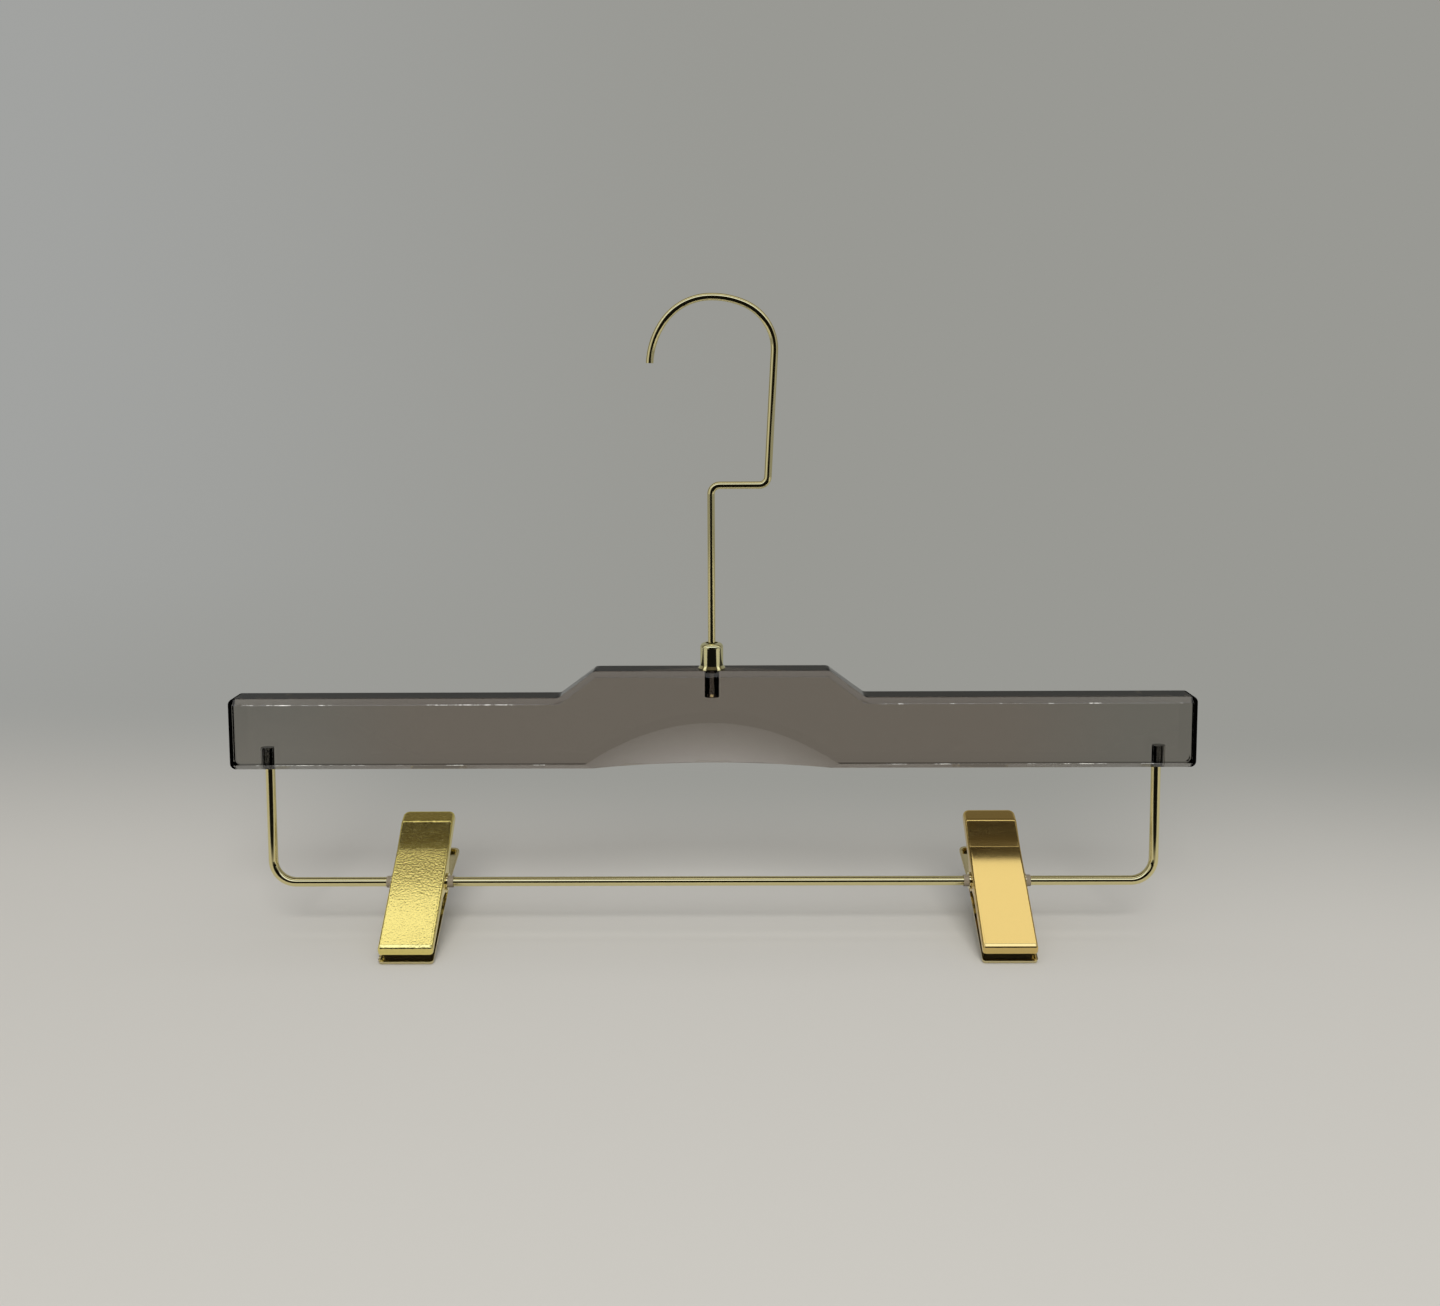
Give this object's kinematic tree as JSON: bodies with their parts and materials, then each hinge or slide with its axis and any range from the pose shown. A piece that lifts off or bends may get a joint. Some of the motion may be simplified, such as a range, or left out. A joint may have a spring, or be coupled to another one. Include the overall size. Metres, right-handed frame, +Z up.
{
  "type": "trouser hanger",
  "caption": "Trouser hanger with a clear tinted bar, a swivelling wire hook, and a wire below the bar on which sprung metal clips slide, turn and open.",
  "frame": {"origin": "the rail seat, at the top of the hook's inside, on the axis that the hook swivels about", "axes": "+X to the right along the bar, -Y is the front, +Z up"},
  "size_m": [0.36, 0.0526, 0.2415],
  "materials": {
    "tinted_acrylic": "polished, clear, smoke grey",
    "plated_wire": "polished pale gold plating",
    "plated_collar": "polished pale gold plating",
    "plated_sheet": "satin pale gold plating",
    "plated_tube": "bright pale gold plating",
    "clear_sleeve": "soft, clear, faintly pink",
    "jaw_rubber": "matt, ribbed",
    "spring_steel": "drawn wire"
  },
  "bodies": {
    "hook": {"hook_wire": "plated_wire"},
    "frame": {"bar": "tinted_acrylic", "hook_ferrule": "plated_collar", "trouser_wire": "plated_wire", "leg_socket_left": "plated_tube", "leg_socket_right": "plated_tube"},
    "slider_left": {"pivot_tube_left": "plated_tube", "grip_sleeve_left": "clear_sleeve"},
    "clip_back_left": {"back_lever_left": "plated_sheet", "back_pad_left": "jaw_rubber", "torsion_spring_left": "spring_steel"},
    "clip_front_left": {"front_lever_left": "plated_sheet", "front_pad_left": "jaw_rubber"},
    "slider_right": {"pivot_tube_right": "plated_tube", "grip_sleeve_right": "clear_sleeve"},
    "clip_back_right": {"back_lever_right": "plated_sheet", "back_pad_right": "jaw_rubber", "torsion_spring_right": "spring_steel"},
    "clip_front_right": {"front_lever_right": "plated_sheet", "front_pad_right": "jaw_rubber"}
  },
  "joints": [
    {"name": "hook_swivel", "type": "hinge", "parent": "hook", "child": "frame", "pos_m": [0, 0, -0.1361], "axis": [0, 0, 1], "continuous": true},
    {"name": "clip_slide_left", "type": "slide", "parent": "frame", "child": "slider_left", "axis": [1, 0, 0], "range_m": [-0.0343, 0.0967]},
    {"name": "clip_turn_left", "type": "hinge", "parent": "slider_left", "child": "clip_back_left", "pos_m": [-0.1107, 0, -0.2178], "axis": [1, 0, 0], "continuous": true},
    {"name": "jaw_left", "type": "hinge", "parent": "clip_back_left", "child": "clip_front_left", "pos_m": [-0.1107, 0, -0.2178], "axis": [-1, 0, 0], "range_deg": [0, 32], "stiffness_Nm_per_rad": 0.2, "springref_deg": -68.75, "deforming": ["torsion_spring_left"]},
    {"name": "clip_slide_right", "type": "slide", "parent": "frame", "child": "slider_right", "axis": [1, 0, 0], "range_m": [-0.0933, 0.0377]},
    {"name": "clip_turn_right", "type": "hinge", "parent": "slider_right", "child": "clip_back_right", "pos_m": [0.1073, 0, -0.2178], "axis": [1, 0, 0], "continuous": true},
    {"name": "jaw_right", "type": "hinge", "parent": "clip_back_right", "child": "clip_front_right", "pos_m": [0.1073, 0, -0.2178], "axis": [-1, 0, 0], "range_deg": [0, 32], "stiffness_Nm_per_rad": 0.2, "springref_deg": -68.75, "deforming": ["torsion_spring_right"]}
  ]
}
